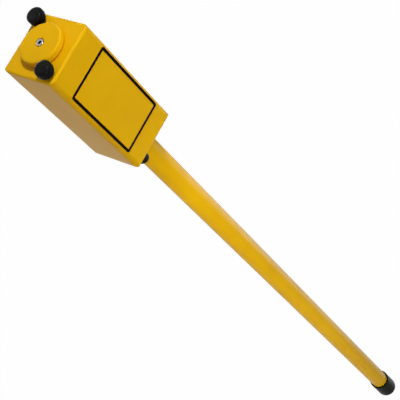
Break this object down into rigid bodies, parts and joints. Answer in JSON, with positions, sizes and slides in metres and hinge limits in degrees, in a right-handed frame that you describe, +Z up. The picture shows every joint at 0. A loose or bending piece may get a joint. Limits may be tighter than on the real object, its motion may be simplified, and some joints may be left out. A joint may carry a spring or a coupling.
{
  "type": "magnetic locator",
  "caption": "Yellow staff-shaped magnetic locator: a slim sensor tube with a black foot, under a box-shaped electronics head with knobs, a round sounder and a label.",
  "frame": {"origin": "centre of the foot cap's underside, on the tube's axis", "axes": "+Z up the staff from the foot to the head, -Y out of the face with the label, +X to the right of someone who looks at the label"},
  "size_m": [0.065, 0.0647, 1.0744],
  "materials": {
    "yellow_paint": "glossy yellow paint",
    "black_rubber": "matt black rubber",
    "black_plastic": "black moulded plastic",
    "bare_aluminium": "bare machined aluminium",
    "steel": "bare steel",
    "brass": "bare brass",
    "board_laminate": "green board laminate",
    "pale_plastic": "pale moulded plastic",
    "cell_case": "printed battery jacket",
    "label": "printed plastic film with a black border",
    "nickel": "bright nickel plate",
    "copper_winding": "enamelled copper wire",
    "cable_jacket": "grey cable jacket",
    "lead_jacket": "red lead jacket",
    "dark_plastic": "dark moulded plastic",
    "black_steel": "blackened steel"
  },
  "bodies": {
    "chassis": {"sensor_tube": "yellow_paint", "foot_cap": "black_rubber", "tube_collar": "bare_aluminium", "collar_screws": "steel", "collar_set_screws": "steel", "base_plate": "bare_aluminium", "thread_bushes": "brass", "chassis_spine": "bare_aluminium", "spine_screws": "steel", "top_plate": "yellow_paint", "rim_seal": "black_rubber", "sounder_cap": "yellow_paint", "sound_eyelet": "nickel", "cap_screws": "steel", "sounder_ring": "dark_plastic", "piezo_plate": "brass", "piezo_ceramic": "pale_plastic", "volume_pot": "steel", "sensitivity_switch": "steel", "panel_washers": "black_steel", "panel_nuts": "black_steel", "circuit_board": "board_laminate", "board_standoffs": "brass", "board_screws": "steel", "board_chips": "dark_plastic", "board_capacitors": "dark_plastic", "board_headers": "pale_plastic", "battery_tray": "dark_plastic", "tray_screws": "steel", "batteries": "cell_case", "battery_snaps": "dark_plastic", "battery_leads": "lead_jacket", "control_wires": "cable_jacket", "sensor_carrier": "pale_plastic", "sensor_bobbins": "dark_plastic", "sensor_windings": "copper_winding", "sensor_cores": "steel", "sensor_ties": "pale_plastic", "centring_bushes": "pale_plastic", "sensor_cables": "cable_jacket"},
    "cover": {"head_cover": "yellow_paint", "front_label": "label", "tube_grommet": "black_rubber", "thumb_washers": "pale_plastic"},
    "screw_a": {"thumb_screw_a": "black_plastic", "screw_clip_a": "steel"},
    "screw_b": {"thumb_screw_b": "black_plastic", "screw_clip_b": "steel"},
    "volume_control": {"volume_knob": "black_plastic", "volume_shaft": "steel", "volume_set_screw": "steel"},
    "sensitivity_control": {"sensitivity_knob": "black_plastic", "sensitivity_shaft": "steel", "sensitivity_set_screw": "steel"}
  },
  "joints": [
    {"name": "cover_slide", "type": "slide", "parent": "chassis", "child": "cover", "axis": [0, 0, -1], "range_m": [0, 0.85]},
    {"name": "screw_a_turn", "type": "hinge", "parent": "cover", "child": "screw_a", "pos_m": [-0.018, -0.0225, 0.898], "axis": [0, 0, -1], "range_deg": [0, 2700]},
    {"name": "screw_b_turn", "type": "hinge", "parent": "cover", "child": "screw_b", "pos_m": [0.018, 0.0225, 0.898], "axis": [0, 0, -1], "range_deg": [0, 2700]},
    {"name": "volume_turn", "type": "hinge", "parent": "chassis", "child": "volume_control", "pos_m": [0.0235, 0.0227, 1.0697], "axis": [0, 0, -1], "range_deg": [0, 300]},
    {"name": "sensitivity_turn", "type": "hinge", "parent": "chassis", "child": "sensitivity_control", "pos_m": [-0.0235, -0.0227, 1.0697], "axis": [0, 0, -1], "range_deg": [0, 120]}
  ]
}
